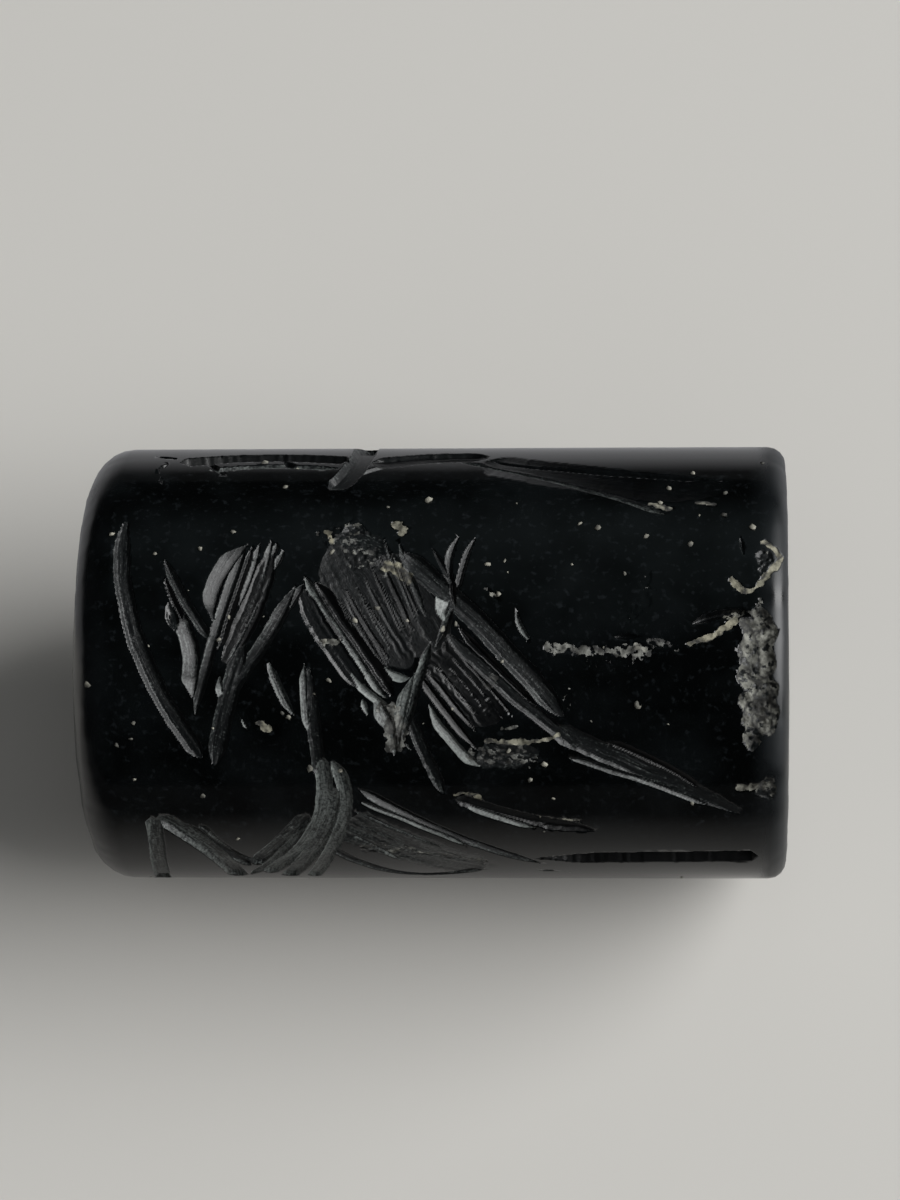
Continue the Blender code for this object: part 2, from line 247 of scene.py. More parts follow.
def long_leg():
    """The leg between the two halves, whose strands cross under the near side."""
    return [
        cut(BROAD, (-134, -6), (-128, 52), (-121, 114), press=0.85, entry=2.2, leave=0.3),
        cut(FINE, (-135, -4), (-136, 30), (-131, 76), press=1.4, lean=-0.4, pale=0.4),
        cut(BROAD, (-124, 90), (-122, 158), (-173, 210), entry=0.5, leave=0.4, pale=0.5),
        cut(BROAD, (-112, 95), (-96, 148), (-127, 213), press=0.9, leave=0.3, pale=0.5),
        cut(BROAD, (-289, 153), (-285, 184), (-278, 220), entry=0.4, leave=0.2, pale=0.3),
        cut(BROAD, (-286, 153), (-242, 180), (-201, 213), press=1.25, entry=0.5, leave=0.4, pale=0.3),
        cut(MEDIUM, (-258, 159), (-220, 186), (-190, 203), leave=0.3),
        cut(MEDIUM, (-243, 160), (-214, 187), (-183, 199), entry=0.4, leave=0.2),
        cut(BROAD, (-186, 202), (-158, 178), (-132, 150), press=1.1, entry=0.3, leave=0.5, pale=0.2),
        cut(BROAD, (-108, 122), (-116, 168), (-152, 213), press=1.1, leave=0.3, pale=0.4),
        cut(MEDIUM, (-134, 152), (-160, 190), (-192, 212), pale=0.5),
        cut(FINE, (-240, 163), (-222, 182), (-203, 195), press=1.7, pale=0.8),
        cut(FINE, (-192, 199), (-170, 184), (-138, 158), press=1.7, pale=0.8),
    ]


def scraped_body():
    """The broad scraped body in the middle, with the strokes of its scraping side by side."""
    cuts = [
        cut(SCOOP, (-116, -124), (-88, -118), (-52, -104), press=0.7, entry=0.8, leave=0.7, matt=0.8),
        cut(SCOOP, (-108, -134), (-70, -60), (-24, 18), press=1.1, entry=1.8, leave=2.2, pale=-0.2),
        cut(SCOOP, (-66, -110), (-26, -46), (4, 2), press=0.85, matt=0.9, pale=-0.3, entry=0.6, leave=1.2),
        cut(SCRAPE, (-141, -80), (-116, -28), (-74, 28), press=0.75, entry=1.2, matt=0.6, pale=-0.2),
        cut(MEDIUM, (-102, -9), (-80, 22), (-50, 44), press=0.8, lean=-0.4, entry=1.2, leave=0.3, pale=0.7),
        cut(CHANNEL, (-128, -84), (-89, -26), (-47, 36), press=0.66, lean=0.5, matt=0.8, pale=-1.5),
        cut(FINE, (-139, -92), (-97, -27), (-52, 40), press=1.5, lean=-0.3, pale=0.4),
    ]
    for strand in range(11):
        start = (-116 + 7 * strand, -84 - 4 * strand - 9 * (strand % 3))
        end = (-50 + 4 * strand, 12 - 4.5 * strand)
        press = 1.15 + 0.3 * (strand % 3 == 1)
        # The strands differ in tone: two in four take a painted shade, one a slightly paler tone
        pale = (0.0, -0.9, 0.2, -0.5)[strand % 4]
        cuts.append(cut(FINE, start, end, press=press, lean=-0.2, entry=2.0, leave=1.4, pale=pale))
    for strand in range(5):
        start = (-128 + 7 * strand, -70 - 6 * strand)
        end = (-76 + 7 * strand, 6 + 2 * strand)
        cuts.append(cut(MEDIUM, start, end, press=0.72, lean=-0.4, entry=1.8, leave=1.8, pale=-0.3))
    return cuts


def crossing_twig():
    """The thin twig that crosses the body from the upper right, and the rough end it meets."""
    return [
        cut(MEDIUM, (22, -131), (10, -106), (11, -76), press=0.8, lean=-0.3, entry=1.1, leave=0.3),
        cut(FINE, (39, -131), (25, -105), (16, -72), press=1.1, entry=1.1, leave=0.3, pale=-0.3),
        cut(FINE, (-14, -121), (-1, -103), (11, -82), press=1.2, entry=1.2, leave=0.3, pale=-0.3),
        cut(SLIT, (11, -88), (12, -74), (17, -52), press=1.3, entry=0.5, leave=0.5, pale=-0.6),
        cut(BLADE, (10, -68), (6, -54), (3, -36), press=0.85, lean=-0.8, entry=0.1, leave=0.7, pale=0.8),
        cut(SLIT, (13, -62), (4, -36), (-8, -10), press=1.2, leave=1.0, pale=0.1),
        cut(SLIT, (-10, -28), (-18, 10), (-40, 82), press=1.15, lean=-0.4, entry=0.9, pale=0.3),
        cut(BLADE, (-62, -2), (-48, 9), (-28, 15), press=0.55, lean=-0.7, entry=0.6, leave=0.4, pale=0.8),
        cut(BLADE, (-72, 28), (-54, 50), (-42, 90), press=0.9, lean=-0.7, entry=1.0, leave=1.6, pale=0.5),
        cut(BLADE, (-24, 4), (-36, 44), (-43, 92), press=0.8, lean=-0.5, entry=1.4, leave=1.4, pale=0.5),
        cut(FINE, (-80, 34), (-72, 56), press=1.2, entry=0.3, leave=0.5, pale=0.5),
        cut(FINE, (-50, 50), (-46, 96), press=1.6, entry=0.5, leave=0.6, pale=0.2),
    ]


def sweeping_bands():
    """The bands that sweep down to the right, and the strands packed under them."""
    return [
        cut(SCOOP, (-12, -22), (22, 18), (62, 66), press=0.85, matt=0.7, pale=-0.7, leave=1.0),
        cut(BROAD, (-42, -112), (42, -36), (126, 58), press=1.25, entry=0.8, leave=1.4),
        cut(BROAD, (2, -34), (58, 20), (142, 88), press=0.85, entry=1.2, leave=0.5),
        cut(SLIT, (14, -42), (55, 4), (102, 49), entry=1.0, leave=1.0, matt=0.8, pale=-1.5),
        cut(MEDIUM, (158, 78), (218, 104), (264, 132), lean=0.5, pale=-0.9),
        cut(SCRAPE, (108, 64), (200, 106), (312, 154), press=0.8, entry=0.6, leave=2.6),
        cut(MEDIUM, (122, 93), (196, 116), (270, 144), press=0.7, pale=0.1),
        cut(SCOOP, (32, 88), (58, 93), (112, 84), press=0.5, entry=0.5, leave=1.4),
        cut(MEDIUM, (-18, 4), (12, 40), (40, 76), press=0.68, lean=-0.2, leave=1.4, pale=-0.9),
        cut(MEDIUM, (-24, 8), (10, 54), (42, 92), press=0.9, lean=-0.2, leave=1.4, pale=-0.7),
        cut(FINE, (-14, -8), (26, 40), (52, 70), press=0.98, leave=1.4, matt=0.6, pale=-0.9),
        cut(FINE, (-4, -10), (34, 34), (60, 68), press=0.94, leave=1.2, matt=0.6, pale=-0.9),
        cut(FINE, (2, -14), (40, 28), (70, 66), press=0.98, leave=1.6, matt=0.6, pale=-0.9),
        cut(FINE, (10, -16), (46, 22), (78, 62), press=0.94, leave=1.2, matt=0.6, pale=-0.9),
        cut(BLADE, (-16, 34), (10, 74), (44, 106), press=0.62, lean=-0.6, entry=1.2, leave=0.7, pale=0.7),
        cut(BROAD, (-34, 48), (-16, 90), (4, 134), press=0.75, entry=0.9),
        cut(FINE, (-40, 76), (-25, 92), press=1.2, pale=0.3),
        cut(BROAD, (14, 135), (80, 154), (160, 167), press=0.9, pale=-0.4, entry=0.4, leave=1.4),
        cut(FINE, (16, 139), (55, 154), (99, 166), press=1.3, pale=0.4),
        cut(MEDIUM, (98, 164), (158, 168), lean=0.4, entry=0.3, pale=-1.2),
        cut(FINE, (79, -60), (78, -42), (95, -15), pale=0.3),
    ]


def near_side_lines():
    """The long lines along the near side, close to the outline."""
    cuts = [
        cut(SCOOP, (-100, 158), (-16, 190), (50, 204), press=0.85, entry=0.6, matt=0.6, pale=0.2),
        cut(MEDIUM, (-86, 124), (9, 171), (107, 201), press=1.1, leave=1.6),
        cut(BROAD, (-108, 185), (-41, 209), (47, 205), press=0.7, entry=0.4),
        cut(
            CHANNEL, (90, 195), (200, 194), (316, 192),
            press=1.05, entry=2.4, leave=0.3, matt=0.9, pale=-1.5,
        ),
        cut(FINE, (89, 207), (125, 207)),
    ]
    for line in range(4):
        start = (-88 - 4 * line, 136 + 10 * line)
        end = (30 - 22 * line, 184 + 5 * line)
        cuts.append(cut(FINE, start, end, pale=0.3))
    return cuts


def far_side_channels():
    """The channels along the far side, one of which notches the outline."""
    return [
        cut(
            CHANNEL, (-262, -201), (-180, -206), (-91, -203),
            press=1.1, entry=0.4, leave=0.3, matt=0.8, pale=-1.5,
        ),
        cut(MEDIUM, (-238, -194), (-168, -198), (-98, -195), press=0.9, lean=-0.5, pale=0.6),
        cut(MEDIUM, (-236, -202), (-222, -194), (-212, -184), press=0.7, entry=0.4, matt=0.4, pale=-0.8),
        cut(MEDIUM, (-158, -202), (-142, -196), press=0.8, entry=0.3, leave=0.3, matt=0.5, pale=-0.6),
        cut(MEDIUM, (-291, -208), (-258, -205), press=0.8, matt=0.4, pale=-1.0),
        cut(FINE, (-288, -192), (-270, -203), press=1.3, matt=0.4, pale=-0.6),
        cut(FINE, (-281, -176), (-281, -192), press=0.9, matt=0.6),
        cut(SCRAPE, (-72, -199), (-6, -205), (52, -205), press=1.1, matt=0.7, pale=-0.7),
        cut(HOLLOW, (40, -202), (150, -184), (300, -166), press=0.8, matt=0.3, pale=-1.2, leave=3.0),
        cut(
            MEDIUM, (50, -203), (141, -192), (292, -181),
            press=0.8, entry=0.5, leave=2.0, matt=0.3, pale=-1.2,
        ),
        cut(BROAD, (-64, -240), (-84, -198), (-113, -174), press=1.5, entry=0.1, leave=0.6),
        cut(FINE, (-109, -176), (-50, -198), (19, -200), press=1.3, pale=0.3),
        cut(MEDIUM, (17, -201), (112, -183), (229, -147), press=0.75, pale=0.3),
    ]


def right_end_marks():
    """The slots and the thin lines on the smooth part at the right."""
    return [
        cut(FINE, (164, -26), (206, -26), press=1.3, matt=0.3, pale=-1.0),
        cut(MEDIUM, (246, -36), (284, -49), (318, -43), press=0.95, matt=0.5, pale=-0.8),
        cut(FINE, (298, -132), (302, -100), matt=0.3),
    ]


def hidden_field(face, tall):
    """Plainer carving on a side that doesn't show: a row of chevrons over a long line."""
    cuts = [cut(MEDIUM, (-270, tall), (0, tall + 8), (270, tall - 4), face=face)]
    for chevron in range(4):
        middle = -225 + 150 * chevron
        foot = (middle, tall - 22)
        cuts.append(cut(BROAD, (middle - 58, 20 - tall), foot, press=0.9, face=face))
        cuts.append(cut(BROAD, (middle + 46, 30 - tall), foot, press=0.8, face=face))
        cuts.append(cut(FINE, (middle - 26, 14 - tall), (middle + 8, tall - 50), face=face))
    return cuts


def crust(width, cover, cream, *path, face=SHOWN_FACE):
    """A patch of crust of this width in mm along two or three drawn points, grey or cream."""
    return Crust(path, width * MM, cover, cream, face)


def crust_patches():
    """The crust and dirt that sticks to the carving and to the smooth stone."""
    return [
        crust(1.3, 0.42, 0.1, (-102, -130), (-84, -112), (-62, -100)),
        crust(0.62, 1.0, 0.9, (-54, -99), (-44, -95), (-32, -86)),
        crust(0.4, 0.8, 0.7, (-44, -139), (-38, -133)),
        crust(0.3, 0.6, 1.0, (-113, -131), (-110, -122)),
        crust(0.4, 0.6, 0.2, (-117, -21), (-104, -22)),
        crust(0.34, 0.8, 0.8, (-182, 61), (-174, 67)),
        crust(0.8, 0.62, 0.1, (-58, 42), (-48, 54), (-44, 82)),
        crust(0.22, 0.9, 0.7, (46, 78), (90, 79), (117, 73)),
        crust(0.26, 0.5, 0.2, (62, 65), (82, 62)),
        crust(0.9, 0.5, 0.1, (34, 92), (86, 94)),
        crust(0.26, 0.5, 0.3, (46, -74), (57, -63)),
        crust(0.36, 0.5, 0.1, (48, 22), (54, 15)),
        crust(0.6, 0.48, 0.2, (-76, 184), (-30, 190), (42, 199)),
        crust(0.3, 0.6, 0.9, (14, 131), (28, 131), (40, 137)),
        crust(0.26, 0.5, 0.5, (97, 154), (118, 156), (138, 158)),
        crust(0.34, 0.6, 0.4, (298, 124), (312, 124), (326, 120)),
        crust(0.56, 0.56, 0.15, (108, -14), (160, -13), (206, -11)),
        crust(0.24, 0.66, 0.3, (196, -18), (204, -13)),
        crust(0.9, 0.34, 0.1, (140, -4), (200, 0)),
        crust(0.5, 0.42, 0.1, (204, -12), (214, -20), (232, -18)),
        crust(0.34, 1.0, 0.9, (246, -19), (270, -27), (293, -42)),
        crust(0.32, 1.0, 0.8, (291, -81), (306, -71), (324, -87)),
        crust(0.32, 1.0, 0.8, (322, -84), (337, -104), (324, -119)),
        crust(0.6, 0.3, 0.1, (184, -44), (204, -62), (202, -88)),
        crust(0.5, 0.35, 0.2, (122, 24), (127, 46)),
        crust(0.24, 0.8, 0.6, (209, -159), (216, -157), (229, -154)),
        crust(0.22, 0.8, 0.5, (256, -160), (272, -158)),
        crust(0.3, 0.5, 0.4, (284, -45), (300, -50)),
        crust(0.4, 0.4, 0.3, (-110, 60), (-60, 90), face=UNDER_FACE),
        crust(0.5, 0.6, 0.5, (90, -40), (150, -10), face=BACK_FACE),
        crust(0.4, 0.7, 0.7, (-200, 70), (-150, 96), face=BACK_FACE),
    ]


def on_stone(drawn, face):
    """X of a drawn point on the stone, and its angle from the top toward the near side."""
    along = drawn[0] / UNITS_IN_LENGTH * LENGTH
    down = drawn[1] / UNITS_IN_DIAMETER * RADIUS * 2
    slant = VIEW_DISTANCE ** 2 - RADIUS ** 2
    outline = RADIUS * VIEW_DISTANCE / math.sqrt(slant)
    seen = max(-outline, min(outline, down))
    root = math.sqrt(max(0.0, (VIEW_DISTANCE * RADIUS) ** 2 - slant * seen ** 2))
    share = (VIEW_DISTANCE ** 2 - root) / (VIEW_DISTANCE ** 2 + seen ** 2)
    angle = math.atan2(share * seen, VIEW_DISTANCE * (1 - share))
    round_the_back = (down - seen) / RADIUS
    return VIEW_ALONG + share * (along - VIEW_ALONG), face + angle + round_the_back


def drawn_point(path, share):
    """A point of a drawn path, straight through two points or bowed through a third between."""
    if len(path) == 2:
        start, end = path
        via = ((start[0] + end[0]) / 2, (start[1] + end[1]) / 2)
    else:
        start, via, end = path
    point = []
    for a, b, c in zip(start, via, end):
        pull = 2 * b - (a + c) / 2
        point.append(a * (1 - share) ** 2 + pull * 2 * share * (1 - share) + c * share ** 2)
    return point


def laid_on_stone(path, face):
    """A drawn path on the stone, as X and distance round it."""
    spots = []
    for step in range(PATH_STEPS + 1):
        x, angle = on_stone(drawn_point(path, step / PATH_STEPS), face)
        spots.append((x, angle * RADIUS))
    return np.array(spots)


def from_path(spots, x, angle, reach):
    """Which places lie within reach of a path, how far off it to the side, and how far along."""
    middle = spots[:, 1].mean() / RADIUS
    around = ((angle - middle + math.pi) % math.tau - math.pi + middle) * RADIUS
    low, high = spots.min(axis=0) - reach, spots.max(axis=0) + reach
    inside = (x > low[0]) & (x < high[0]) & (around > low[1]) & (around < high[1])
    near = np.flatnonzero(inside)
    across = np.zeros(len(near))
    along = np.zeros(len(near))
    closest = np.full(len(near), np.inf)
    run = 0.0
    for start, end in zip(spots, spots[1:]):
        length = math.hypot(*(end - start))
        ahead = (end - start) / length
        gone_x, gone_y = x[near] - start[0], around[near] - start[1]
        passed = np.clip(gone_x * ahead[0] + gone_y * ahead[1], 0.0, length)
        off_x, off_y = gone_x - ahead[0] * passed, gone_y - ahead[1] * passed
        gap = np.hypot(off_x, off_y)
        closer = gap < closest
        closest[closer] = gap[closer]
        side = np.where(off_y * ahead[0] - off_x * ahead[1] < 0, -1.0, 1.0)
        across[closer] = (side * gap)[closer]
        along[closer] = (run + passed)[closer]
        run += length
    return near, across, along, run


# How a stroke strays from its path, how ragged its rims are as a share of the tool's width, how the
# scratches of its grit run, how narrow it starts, and how strong and wide the painted highlight on its lit
# rim and the painted shade on its other rim are
STROKE_REACH = 1.2
STROKE_SEED = 10
WOBBLE = 0.05 * MM
WOBBLE_RUN = 0.9 * MM
RAGGED = 0.06
RAGGED_RUN = 0.16 * MM
STRIA_WIDTH = 0.11 * MM
STRIA_RUN = 1.6 * MM
STRIA_DEPTH = 0.05 * MM
NARROWEST = 0.06
PAINTED_RIM_LIGHT = 0.5
PAINTED_RIM_WIDTH = 0.11 * MM


def stroke_depth(stroke, spots, seed, x, angle):
    """Depth that one stroke cuts at each place near it, less than nothing beside the stroke."""
    near, across, along, run = from_path(spots, x, angle, stroke.tool.width * STROKE_REACH)
    wobble = WOBBLE * (noise(along / WOBBLE_RUN, along * 0, seed) - 0.5)
    ragged = noise(along / RAGGED_RUN, np.sign(across) * 9.5, seed + 1) - 0.5
    ragged = ragged * RAGGED * stroke.tool.width
    across = across + wobble + ragged
    entered = 1 - np.clip(along / stroke.entry, 0.0, 1.0)
    left = 1 - np.clip((run - along) / stroke.leave, 0.0, 1.0)
    pressure = 1 - np.maximum(entered, left) ** 2
    half = stroke.tool.width * stroke.press / 2 * (NARROWEST + (1 - NARROWEST) * pressure)
    side = half * np.where(across < 0, 1 + stroke.lean, 1 - stroke.lean)
    full = stroke.tool.depth * stroke.press
    share = np.abs(across) / side
    bank = stroke.tool.bank
    drop = np.clip((share - 1 + bank) / bank, 0.0, None) if bank else share ** 2
    depth = (full + CLEAR / 2) * pressure - CLEAR / 2 - full * drop
    grit = noise(across / STRIA_WIDTH, along / STRIA_RUN, seed + 2) - 0.5
    depth = depth + stroke.tool.stria * grit * smooth(depth, 0.0, STRIA_DEPTH)
    # Painted light on the banks: the bank on the left of a path drawn down, which faces the light, is
    # painted paler, and the other bank is painted darker as shade, less where the stroke is painted dark
    # already
    lip = np.where(across > 0, PAINTED_RIM_LIGHT, -PAINTED_RIM_LIGHT) * bank * min(1.0, max(0.0, 1 + stroke.pale))
    pale = stroke.pale + lip * (1 - smooth((1 - share) * side, 0.0, PAINTED_RIM_WIDTH))
    return near, depth, pale, across, along


def all_strokes():
    """Every stroke with its path laid on the stone."""
    groups = [
        left_bow(), left_fan(), long_leg(), scraped_body(), crossing_twig(),
        sweeping_bands(), near_side_lines(), far_side_channels(), right_end_marks(),
        hidden_field(UNDER_FACE, 84), hidden_field(BACK_FACE, 118),
    ]
    return [(stroke, laid_on_stone(stroke.path, stroke.face)) for group in groups for stroke in group]


STROKES = all_strokes()
PATCHES = [(patch, laid_on_stone(patch.path, patch.face)) for patch in crust_patches()]


def carved(x, angle):
    """Depth of the carving at each place, how matt its floor is, its paleness with painted shade and
    painted highlight in it, and its grit's grain.
    """
    depth = np.full(len(x), UNCUT)
    matt = np.zeros(len(x))
    pale = np.zeros(len(x))
    grain = np.zeros((len(x), 3))
    for number, (stroke, spots) in enumerate(STROKES):
        seed = STROKE_SEED + 3 * number
        near, cut_here, pale_and_painted_light_here, across, along = stroke_depth(stroke, spots, seed, x, angle)
        deeper = cut_here > depth[near]
        hit = near[deeper]
        depth[hit] = cut_here[deeper]
        matt[hit] = stroke.matt
        pale[hit] = pale_and_painted_light_here[deeper]
        grain[hit, 0] = across[deeper] / MM
        grain[hit, 1] = along[deeper] / MM
        grain[hit, 2] = number
    return depth, matt, pale, grain


# How far a patch of crust strays from its outline, in tongues and in grains, and how rough it is
CRUST_MIDDLE = 0.9
CRUST_TONGUES = 0.9
CRUST_FRAYED = 0.7
CRUST_SOFT = 0.35
CRUST_RAGGED = 0.35 * MM
CRUST_LUMP = 0.13 * MM
CRUST_ROUGH = 0.06 * MM
TONGUE_SEED = 700
FRAY_SEED = 740
LUMP_SEED = 777


def crusted(x, angle):
    """How thickly crust covers each place, from 0 to 1, and how cream it is."""
    cover = np.zeros(len(x))
    cream = np.zeros(len(x))
    for number, (patch, spots) in enumerate(PATCHES):
        near, across, _, _ = from_path(spots, x, angle, patch.width)
        around = angle[near] * RADIUS
        ragged = noise(x[near] / CRUST_RAGGED, around / CRUST_RAGGED, TONGUE_SEED + number) - 0.5
        fine = noise(x[near] / CRUST_LUMP, around / CRUST_LUMP, FRAY_SEED + number) - 0.5
        inside = CRUST_MIDDLE - 2 * np.abs(across) / patch.width
        inside = inside + CRUST_TONGUES * ragged + CRUST_FRAYED * fine
        here = patch.cover * smooth(inside, 0.0, CRUST_SOFT)
        more = here > cover[near]
        hit = near[more]
        cover[hit] = here[more]
        cream[hit] = patch.cream
    return cover, cream


def hollowed(x, angle):
    """Depth of the round polished hollow at each place."""
    middle, turn = on_stone(DISH_MIDDLE, SHOWN_FACE)
    around = (angle - turn + math.pi) % math.tau - math.pi
    spread = np.hypot(x - middle, around * RADIUS) / DISH_RADIUS
    return DISH_DEPTH * np.clip(1 - spread ** 2, 0.0, 1.0) ** DISH_EASE


def arc(x, radius, turning, start_degrees, end_degrees):
    """X and radius along a rounded corner of the turned outline."""
    turns = np.radians(np.linspace(start_degrees, end_degrees, ARC_STEPS))
    return np.stack((x + turning * np.sin(turns), radius + turning * np.cos(turns)), axis=1)


def turned_outline():
    """The stretches of the outline from the middle of the hole round the right end and back."""
    half = LENGTH / 2
    mouth = HOLE_MOUTH / 2
    lip, right, left = HOLE_EDGE_ROUND, RIGHT_EDGE_ROUND, LEFT_EDGE_ROUND
    middle = np.array([(0.0, HOLE_WAIST / 2)])
    right_lip = arc(half - lip, mouth + lip, lip, 180, 90)
    right_round = arc(half - right, RADIUS - right, right, 90, 0)
    left_round = arc(left - half, RADIUS - left, left, 0, -90)
    left_lip = arc(lip - half, mouth + lip, lip, -90, -180)
    return [
        (CELLS_IN_HOLE, np.concatenate((middle, right_lip[:1]))),
        (CELLS_IN_LIP, right_lip),
        (CELLS_ON_FACE, np.stack((right_lip[-1], right_round[0]))),
        (CELLS_IN_RIGHT_ROUND, right_round),
        (CELLS_ON_SIDE, np.stack((right_round[-1], left_round[0]))),
        (CELLS_IN_LEFT_ROUND, left_round),
        (CELLS_ON_FACE, np.stack((left_round[-1], left_lip[0]))),
        (CELLS_IN_LIP, left_lip),
        (CELLS_IN_HOLE, np.concatenate((left_lip[-1:], middle))),
    ]


def outline_table():
    """The cells counted along the outline at each of its points, and the points' X and radius."""
    cells, points = [np.zeros(1)], [np.array([(0.0, HOLE_WAIST / 2)])]
    for count, stretch in turned_outline():
        run = np.concatenate(([0.0], np.cumsum(np.hypot(*np.diff(stretch, axis=0).T))))
        cells.append(cells[-1][-1] + run[1:] / run[-1] * count)
        points.append(stretch[1:])
    return np.concatenate(cells), np.concatenate(points)


OUTLINE_CELLS, OUTLINE = outline_table()
CELLS_ALONG = round(OUTLINE_CELLS[-1])
SIDE_START = CELLS_IN_HOLE + CELLS_IN_LIP + CELLS_ON_FACE
SIDE_END = SIDE_START + CELLS_IN_RIGHT_ROUND + CELLS_ON_SIDE + CELLS_IN_LEFT_ROUND


def in_space(x, radius, angle):
    """Points in space from X, radius and angle."""
    return np.stack((x, -radius * np.sin(angle), AXIS_HEIGHT + radius * np.cos(angle)), axis=1)


def chips_off():
    """The smaller chips, and the crusted break down the right end."""
    chips = list(CHIPS)
    for i in range(BREAK_LUMPS):
        down = BREAK_TOP + (BREAK_FOOT - BREAK_TOP) * i / (BREAK_LUMPS - 1)
        drawn = (BREAK_ALONG + BREAK_STAGGER * (i % 2), down)
        chips.append(Chip(drawn, BREAK_WIDTH, BREAK_SINK, SHOWN_FACE, BREAK_CRUST))
    return chips


# The floor of a chip: its lumps and grains, and how narrow and ragged its outline is
CHIP_REACH = 1.6
CHIP_BELOW = -1.5
CHIP_SEED = 900
CHIP_CREAM = 0.25
CHIP_LUMP = 0.36 * MM
CHIP_UNEVEN = 0.1 * MM
CHIP_GRAIN = 0.1 * MM
CHIP_ROUGH = 0.06 * MM
CHIP_NARROW = 0.78
CHIP_RAGGED = 0.4 * MM
CHIP_OUTLINE = 0.8


def break_away(points, angle):
    """Points moved down onto the rough floors of the chips, and how much each place is chipped."""
    points = points.copy()
    chipped = np.full(len(points), UNCUT)
    crust = np.zeros(len(points))
    for chip in chips_off():
        x, turn = on_stone(chip.drawn, chip.face)
        out = np.array((0.0, -math.sin(turn), math.cos(turn)))
        tangent = np.array((0.0, -math.cos(turn), -math.sin(turn)))
        half = chip.width / 2
        centre = np.array((x, 0.0, AXIS_HEIGHT)) + out * (RADIUS + half * CHIP_FLATNESS - chip.sink)
        away = points - centre
        a, b, c = away[:, 0] / half / CHIP_NARROW, away @ tangent / half, away @ out / half
        near = np.flatnonzero((a * a + b * b < CHIP_REACH) & (c > CHIP_BELOW))
        a, b, c = a[near], b[near], c[near]
        along, around = points[near, 0], angle[near] * RADIUS
        lumps = (noise(along / CHIP_LUMP, around / CHIP_LUMP, CHIP_SEED) - 0.5) * CHIP_UNEVEN
        grains = (noise(along / CHIP_GRAIN, around / CHIP_GRAIN, CHIP_SEED + 1) - 0.5) * CHIP_ROUGH
        ragged = noise(along / CHIP_RAGGED, around / CHIP_RAGGED, CHIP_SEED + 2) - 0.5
        spread = np.clip(1 - a * a - b * b + CHIP_OUTLINE * ragged, 0.0, 1.0)
        floor = -CHIP_FLATNESS * np.sqrt(spread) + (lumps + grains) / half
        inside = (c > floor) & (spread > 0.0)
        hit = near[inside]
        points[hit] += out * ((floor - c)[inside] * half)[:, None]
        gap = (c - floor) * half
        gap[spread <= 0.0] = UNCUT
        more = gap > chipped[near]
        chipped[near[more]] = gap[more]
        crust[near[more]] = chip.crust
    return points, chipped, crust


# Wear: the slow waves of the side, how deep the ends are worn, and the lumps that wear leaves
WAVE = 5.0 * MM
UNEVEN_SIDE = 0.01 * MM
WORN_LEFT = 0.1 * MM
WORN_RIGHT = 0.05 * MM
WEAR_LUMP = 1.3 * MM
WEAR_GRAIN = 0.45 * MM
WEAR_GRAINY = 0.4
WEAR_STARTS = 0.25

# How much of the worn tone the rounded edges and the end faces take, in blotches
RIGHT_ROUND_WORN = 1.0
LEFT_ROUND_WORN = 0.35
FACE_WORN = 0.5
WORN_BLOTCH = 0.8 * MM
LEAST_BLOTCHED = 0.4
BLOTCHED_MORE = 1.2


def beyond_side(cells, start, end):
    """0 on the side of the stone and 1 past it, from start to end in cells over the rounded edge."""
    off_middle = np.abs(cells - (SIDE_START + SIDE_END) / 2)
    return smooth(off_middle, CELLS_ON_SIDE / 2 + start, CELLS_ON_SIDE / 2 + end)


def worn_noise(cells, x, radius, angle, size, seed):
    """Noise over the side of the stone that runs on over its two end faces."""
    faced = beyond_side(cells, 2, 6)
    on_face = noise(radius * np.cos(angle) / size, radius * np.sin(angle) / size, seed)
    return skin_noise(x, angle, size, seed) * (1 - faced) + on_face * faced


def uneven(cells, x, radius, angle):
    """How far the worn stone stands back from the turned outline."""
    mouth = smooth(np.minimum(cells, CELLS_ALONG - cells), CELLS_IN_HOLE, CELLS_IN_HOLE + CELLS_IN_LIP)
    slow = worn_noise(cells, x, radius, angle, WAVE, 1) * UNEVEN_SIDE
    worn = np.where(x < 0, WORN_LEFT, WORN_RIGHT) * beyond_side(cells, -3, 6)
    lumps = worn_noise(cells, x, radius, angle, WEAR_LUMP, 2) * (1 - WEAR_GRAINY)
    lumps = lumps + worn_noise(cells, x, radius, angle, WEAR_GRAIN, 3) * WEAR_GRAINY
    return mouth * (slow + worn * np.clip(lumps - WEAR_STARTS, 0.0, 1.0))


# What the surface is at each place: all but its points is kept for the material
Skin = namedtuple("Skin", "points cut matt pale grain chipped crust cream worn")
OUTLINE_STEP = 0.05
RIM_CELL = 0.5


def outline_at(cells):
    """X and radius of the turned outline at these cells along it."""
    return np.interp(cells, OUTLINE_CELLS, OUTLINE[:, 0]), np.interp(cells, OUTLINE_CELLS, OUTLINE[:, 1])


